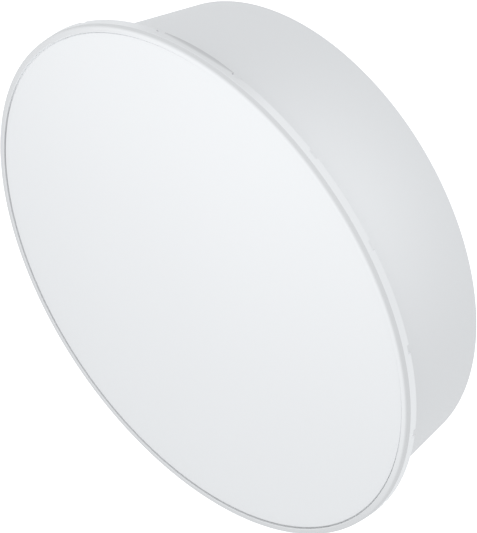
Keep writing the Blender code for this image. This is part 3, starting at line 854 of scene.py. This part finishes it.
def build_feed(material, case):
    """Feed tube through the bowl's centre, and its cap with the small reflector."""
    rear = PAD_REAR_DEPTH - PAD_THICKNESS / 2
    neck_end = FEED_FRONT + FEED_NECK_LENGTH
    tube = [
        (0.0, FEED_FRONT),
        (FEED_NECK_RADIUS, FEED_FRONT),
        (FEED_NECK_RADIUS, neck_end),
        (FEED_RADIUS, neck_end + FEED_SHOULDER),
        (FEED_RADIUS, rear),
        (0.0, rear),
    ]
    item = turned("tube", tube, steps=SMALL_STEPS)
    smooth(item)
    stands_for(item, "feed_tube", material)
    cap = [
        (0.0, FEED_CAP_FRONT),
        (FEED_CAP_RADIUS - FEED_CAP_EDGE, FEED_CAP_FRONT),
        (FEED_CAP_RADIUS, FEED_CAP_FRONT + FEED_CAP_EDGE),
        (FEED_CAP_RADIUS, FEED_CAP_FRONT + 2 * FEED_CAP_EDGE),
        (FEED_NECK_RADIUS, FEED_FRONT - GAP),
        (0.0, FEED_FRONT - GAP),
    ]
    item = turned("cap", cap, steps=SMALL_STEPS)
    smooth(item)
    stands_for(item, "feed_cap", case)


def build_backing_ring(material):
    """Ring inside the bowl that the hub bolts screw into."""
    profile = [
        (FEED_HOLE_RADIUS, RING_FRONT_DEPTH),
        (RING_RADIUS, RING_FRONT_DEPTH),
        (RING_RADIUS, RING_REAR_DEPTH),
        (FEED_HOLE_RADIUS, RING_REAR_DEPTH),
    ]
    item = turned("ring", profile, closed=True, steps=SMALL_STEPS)
    drill_hub_holes(item, RING_FRONT_DEPTH - OVERRUN)
    smooth(item)
    stands_for(item, "backing_ring", material)


def build_hub(material):
    """Round cast plate on the reflector's seat, with a rounded pad behind it."""
    profile = [(0.0, HUB_FRONT_DEPTH), (HUB_RADIUS, HUB_FRONT_DEPTH)]
    profile += depth_arc(HUB_RADIUS - HUB_EDGE, HUB_REAR_DEPTH - HUB_EDGE, HUB_EDGE, 0.0, -90.0, 6)
    profile.append((0.0, HUB_REAR_DEPTH))
    item = turned("hub", profile, steps=SMALL_STEPS)
    root = HUB_FRONT_DEPTH + HUB_THICKNESS / 2
    size = (PAD_WIDTH, PAD_REAR_DEPTH - root, PAD_HEIGHT)
    pad = boxes("pad", size, [at(0.0, (PAD_REAR_DEPTH + root) / 2, 0.0)], PAD_ROUND)
    combine(item, pad, "UNION")
    drill(item, FEED_RADIUS + GAP, 4 * OVERRUN, [backwards(0.0, HUB_FRONT_DEPTH - OVERRUN, 0.0)])
    drill_hub_holes(item, HUB_FRONT_DEPTH - OVERRUN)
    smooth(item)
    stands_for(item, "hub_plate", material)


# Radio housing and bracket

def seamed_case(name, node, size, top, material):
    """Case with rounded edges and a parting seam round it, hanging down from a height."""
    middle = at(0.0, HOUSING_FRONT_DEPTH + size[1] / 2, top - size[2] / 2)
    item = boxes(name, size, [middle], HOUSING_ROUND)
    wide = (size[0] * SEAM_REACH, SEAM_WIDTH, size[2] * SEAM_REACH)
    core = (size[0] - 2 * SEAM_DEPTH, size[1], size[2] - 2 * SEAM_DEPTH)
    seam = boxes("seam", wide, [middle])
    combine(seam, boxes("core", core, [middle], HOUSING_ROUND), "DIFFERENCE")
    combine(item, seam, "DIFFERENCE")
    smooth(item)
    stands_for(item, node, material)


def build_case_screws(steel):
    """Low screws at the corners of the housing's and the port cover's rear faces."""
    places = []
    cover_top = -HOUSING_SIZE[2] / 2 - GAP
    for size, top in ((HOUSING_SIZE, HOUSING_SIZE[2] / 2), (COVER_SIZE, cover_top)):
        rear = HOUSING_FRONT_DEPTH + size[1] - CASE_SCREW_PROUD
        x = size[0] / 2 - CASE_SCREW_INSET
        for side in (-x, x):
            for z in (top - CASE_SCREW_INSET, top - size[2] + CASE_SCREW_INSET):
                places.append(backwards(side, rear, z))
    length = 2 * CASE_SCREW_PROUD
    item = cylinders("case_screws", CASE_SCREW_RADIUS, CASE_SCREW_RADIUS, length, places, sides=32)
    end = Matrix.Translation((0.0, 0.0, length))
    combine(item, boxes("slots", CASE_SLOT_SIZE, [place @ end for place in places]), "DIFFERENCE")
    smooth(item)
    add_piece(item, steel)


def build_gland(rubber):
    """Cable gland: a collar, a ribbed nut and a tapered end."""
    top = -HOUSING_SIZE[2] / 2 - COVER_SIZE[2] - 2 * GAP
    y = FRONT_Y + HOUSING_FRONT_DEPTH + COVER_SIZE[1] / 2
    collar = top - GLAND_COLLAR
    nut = top - GLAND_NUT
    tip = top - GLAND_LENGTH
    core = GLAND_RADIUS - GLAND_RIB
    profile = [
        (0.0, top),
        (GLAND_RADIUS, top),
        (GLAND_RADIUS, collar),
        (core, collar - GLAND_RIB),
        (core, nut),
        (GLAND_TIP_RADIUS, tip + GLAND_RIB),
        (GLAND_TIP_RADIUS - GLAND_RIB, tip),
        (0.0, tip),
    ]
    item = lathe("gland", profile, Matrix.Translation((0.0, y, 0.0)), steps=SMALL_STEPS)
    centre = Matrix.Translation((0.0, y, (collar + nut) / 2))
    places = []
    for index in range(GLAND_RIB_COUNT):
        turn = Matrix.Rotation(math.tau * index / GLAND_RIB_COUNT, 4, "Z")
        places.append(centre @ turn @ Matrix.Translation((core, 0.0, 0.0)))
    size = (GLAND_RIB, GLAND_RIB_WIDTH, GLAND_NUT - GLAND_COLLAR - GLAND_RIB)
    combine(item, boxes("grip", size, places), "UNION")
    smooth(item)
    stands_for(item, "cable_gland", rubber)


def folded_plate(name, path, half_height):
    """Sheet folded along a path of X and depth, with rounded folds and outer corners."""
    mesh = bpy.data.meshes.new(name)
    vertices = [(x, FRONT_Y + depth, z) for x, depth in path for z in (-half_height, half_height)]
    faces = [(2 * step, 2 * step + 2, 2 * step + 3, 2 * step + 1) for step in range(len(path) - 1)]
    mesh.from_pydata(vertices, [], faces)
    item = link_object(name, mesh)
    group = item.vertex_groups.new(name="corners")
    group.add([0, 1, len(vertices) - 2, len(vertices) - 1], 1.0, "REPLACE")
    corners = item.modifiers.new("corners", "BEVEL")
    corners.affect = "VERTICES"
    corners.width = FOOT_CORNER
    corners.segments = 12
    corners.limit_method = "VGROUP"
    corners.vertex_group = group.name
    folds = item.modifiers.new("folds", "BEVEL")
    folds.width = BEND
    folds.segments = 10
    folds.limit_method = "ANGLE"
    folds.angle_limit = math.radians(30.0)
    sheet = item.modifiers.new("sheet", "SOLIDIFY")
    sheet.thickness = PLATE
    sheet.offset = 0.0
    sheet.use_even_offset = True
    bake(item)
    return item


def build_bracket(material):
    """Folded plate: two feet on the hub, two legs beside the housing and a flat rear web."""
    foot = FOOT_FRONT_DEPTH + PLATE / 2
    web = MOUNT_DEPTH - PLATE / 2
    half = [(FOOT_REACH, foot), (LEG_X, foot), (LEG_X, web)]
    path = [(-x, depth) for x, depth in half] + half[::-1]
    item = folded_plate("bracket", path, BRACKET_HALF_HEIGHT)
    places = [backwards(x, FOOT_FRONT_DEPTH - OVERRUN, z) for x, z in hub_bolt_places()]
    drill(item, BOLT_HOLE, 2 * OVERRUN, places)
    spread = (-POLE_BOLT_SPREAD, POLE_BOLT_SPREAD)
    places = [backwards(x, MOUNT_DEPTH - OVERRUN, z) for x in spread for z in spread]
    drill(item, POLE_BOLT_HOLE, 2 * OVERRUN, places)
    drill(item, EARTH_HOLE, 2 * OVERRUN, [backwards(HUB_BOLT_X, FOOT_FRONT_DEPTH - OVERRUN, 0.0)])
    smooth(item)
    stands_for(item, "mounting_bracket", material)


# Fasteners

def build_hub_bolts(steel):
    """Four flanged bolts with chamfered hexagon heads."""
    length = FOOT_REAR_DEPTH + GAP - RING_FRONT_DEPTH
    profile = [
        (0.0, length),
        (BOLT_RADIUS - BOLT_CHAMFER, length),
        (BOLT_RADIUS, length - BOLT_CHAMFER),
        (BOLT_RADIUS, 0.0),
        (BOLT_FLANGE_RADIUS, 0.0),
        (BOLT_FLANGE_RADIUS, -BOLT_FLANGE / 2),
        (BOLT_HEX_RADIUS + GAP, -BOLT_FLANGE),
        (0.0, -BOLT_FLANGE),
    ]
    crown = [
        (0.0, GAP),
        (BOLT_HEX_RADIUS + GAP, GAP),
        (BOLT_HEX_RADIUS + GAP, BOLT_CHAMFER - BOLT_HEAD),
        (BOLT_HEX_RADIUS - 2 * BOLT_CHAMFER, -BOLT_HEAD),
        (0.0, -BOLT_HEAD),
    ]
    start = [Matrix.Translation((0.0, 0.0, -BOLT_HEAD))]
    height = BOLT_HEAD - BOLT_FLANGE / 2
    for index, (x, z) in enumerate(hub_bolt_places()):
        node = "hub_bolt_%d" % (index + 1)
        item = lathe(node + "_body", profile, Matrix.Identity(4), steps=BOLT_STEPS)
        hexagon = cylinders("hexagon", BOLT_HEX_RADIUS, BOLT_HEX_RADIUS, height, start, sides=6)
        crown_cutter = lathe("crown", crown, Matrix.Identity(4), steps=BOLT_STEPS)
        combine(hexagon, crown_cutter, "INTERSECT")
        combine(item, hexagon, "UNION")
        item.data.transform(forwards(x, FOOT_REAR_DEPTH + GAP, z))
        smooth(item)
        stands_for(item, node, steel)


def build_rim_screws(steel):
    """Countersunk screws with a cross recess."""
    length = DISH_WALL + GAP + SHROUD_WALL
    profile = [
        (0.0, length),
        (SCREW_RADIUS, length),
        (SCREW_RADIUS, SCREW_HEAD),
        (SCREW_HEAD_RADIUS, SCREW_HEAD_EDGE),
        (SCREW_HEAD_RADIUS - SCREW_HEAD_EDGE / 2, 0.0),
        (0.0, 0.0),
    ]
    for index, place in enumerate(rim_screw_places(0.0)):
        node = "rim_screw_%02d" % (index + 1)
        item = lathe(node + "_body", profile, Matrix.Identity(4), steps=36)
        for turn in (0.0, math.pi / 2):
            combine(item, boxes("cross", CROSS_SIZE, [Matrix.Rotation(turn, 4, "Z")]), "DIFFERENCE")
        item.data.transform(place)
        smooth(item)
        stands_for(item, node, steel)


def build_earth_screw(steel):
    """Slotted earth screw in the bracket's right foot."""
    profile = [
        (0.0, PLATE + GAP),
        (EARTH_SCREW_RADIUS, PLATE + GAP),
        (EARTH_SCREW_RADIUS, 0.0),
        (EARTH_HEAD_RADIUS, 0.0),
        (EARTH_HEAD_RADIUS, -EARTH_HEAD / 2),
        (EARTH_CROWN_RADIUS, -EARTH_HEAD),
        (0.0, -EARTH_HEAD),
    ]
    item = lathe("earth_body", profile, Matrix.Identity(4), steps=BOLT_STEPS)
    slot = boxes("slot", EARTH_SLOT_SIZE, [Matrix.Translation((0.0, 0.0, -EARTH_HEAD))])
    combine(item, slot, "DIFFERENCE")
    item.data.transform(forwards(HUB_BOLT_X, FOOT_REAR_DEPTH + GAP, 0.0))
    smooth(item)
    stands_for(item, "earth_screw", steel)


def build_rear():
    """Everything behind the reflector, and the feed inside."""
    steel = finished("stainless")
    zinc = finished("zinc_plate")
    case = finished("housing_plastic")
    build_feed(finished("feed_plastic"), case)
    build_backing_ring(zinc)
    build_hub(finished("cast_alloy"))
    seamed_case("housing_case", "radio_housing", HOUSING_SIZE, HOUSING_SIZE[2] / 2, case)
    seamed_case("cover_case", "port_cover", COVER_SIZE, -HOUSING_SIZE[2] / 2 - GAP, case)
    build_case_screws(steel)
    build_gland(finished("gland_rubber"))
    build_bracket(zinc)
    build_hub_bolts(steel)
    build_rim_screws(steel)
    build_earth_screw(steel)


# Stage

def build_camera():
    """Camera at the photograph's angle, far away with a long lens."""
    back = Vector((
        math.sin(AZIMUTH) * math.cos(ELEVATION),
        -math.cos(AZIMUTH) * math.cos(ELEVATION),
        math.sin(ELEVATION),
    ))
    right = Vector((math.cos(AZIMUTH), math.sin(AZIMUTH), 0.0))
    up = back.cross(right)
    data = bpy.data.cameras.new("camera")
    data.lens = LENS
    data.clip_start = 0.1
    data.clip_end = 200.0
    camera = bpy.data.objects.new("camera", data)
    bpy.context.scene.collection.objects.link(camera)
    target = Vector((0.0, FRONT_Y, 0.0)) + right * CAMERA_RIGHT + up * CAMERA_UP
    camera.location = target + back * CAMERA_DISTANCE
    camera.rotation_mode = "QUATERNION"
    camera.rotation_quaternion = Matrix((right, up, back)).transposed().to_quaternion()
    bpy.context.scene.camera = camera


def build_floor():
    """Plain white floor, well below the antenna."""
    work = bmesh.new()
    bmesh.ops.create_grid(work, x_segments=1, y_segments=1, size=FLOOR_HALF)
    mesh = bpy.data.meshes.new("floor")
    work.to_mesh(mesh)
    work.free()
    floor = link_object("floor", mesh)
    floor.location = (0.0, 0.0, FLOOR_HEIGHT)
    material, _, shader, _ = new_material("floor_white", (0.95, 0.95, 0.95), 0.9)
    shader.inputs["Specular IOR Level"].default_value = 0.0
    shader.inputs["Emission Color"].default_value = WHITE
    shader.inputs["Emission Strength"].default_value = FLOOR_GLOW
    floor.data.materials.append(material)
    floor.visible_diffuse = False
    floor.visible_glossy = False


def build_lamp(name, place, aim, width, power):
    """Soft square lamp, aimed at a place and not seen by the camera."""
    data = bpy.data.lights.new(name, "AREA")
    data.energy = power
    data.size = width
    lamp = bpy.data.objects.new(name, data)
    bpy.context.scene.collection.objects.link(lamp)
    lamp.visible_camera = False
    lamp.location = place
    lamp.rotation_mode = "QUATERNION"
    lamp.rotation_quaternion = (Vector(place) - Vector(aim)).to_track_quat("Z", "Y")


def build_world():
    """Soft even light all round, and a white backdrop."""
    world = bpy.data.worlds.new("studio")
    bpy.context.scene.world = world
    world.use_nodes = True
    tree = world.node_tree
    soft = tree.nodes["Background"]
    soft.inputs["Color"].default_value = SKY_COLOUR
    soft.inputs["Strength"].default_value = SKY
    backdrop = tree.nodes.new("ShaderNodeBackground")
    backdrop.inputs["Color"].default_value = WHITE
    path = tree.nodes.new("ShaderNodeLightPath")
    choose = tree.nodes.new("ShaderNodeMixShader")
    tree.links.new(path.outputs["Is Camera Ray"], choose.inputs[0])
    tree.links.new(soft.outputs[0], choose.inputs[1])
    tree.links.new(backdrop.outputs[0], choose.inputs[2])
    tree.links.new(choose.outputs[0], tree.nodes["World Output"].inputs["Surface"])


def build_stage():
    """Floor, light and picture settings."""
    build_floor()
    build_world()
    for lamp in LAMPS:
        build_lamp(*lamp)
    bpy.context.scene.view_settings.view_transform = "Standard"


build_camera()
build_radome()
build_shroud()
build_reflector()
build_rear()
build_stage()
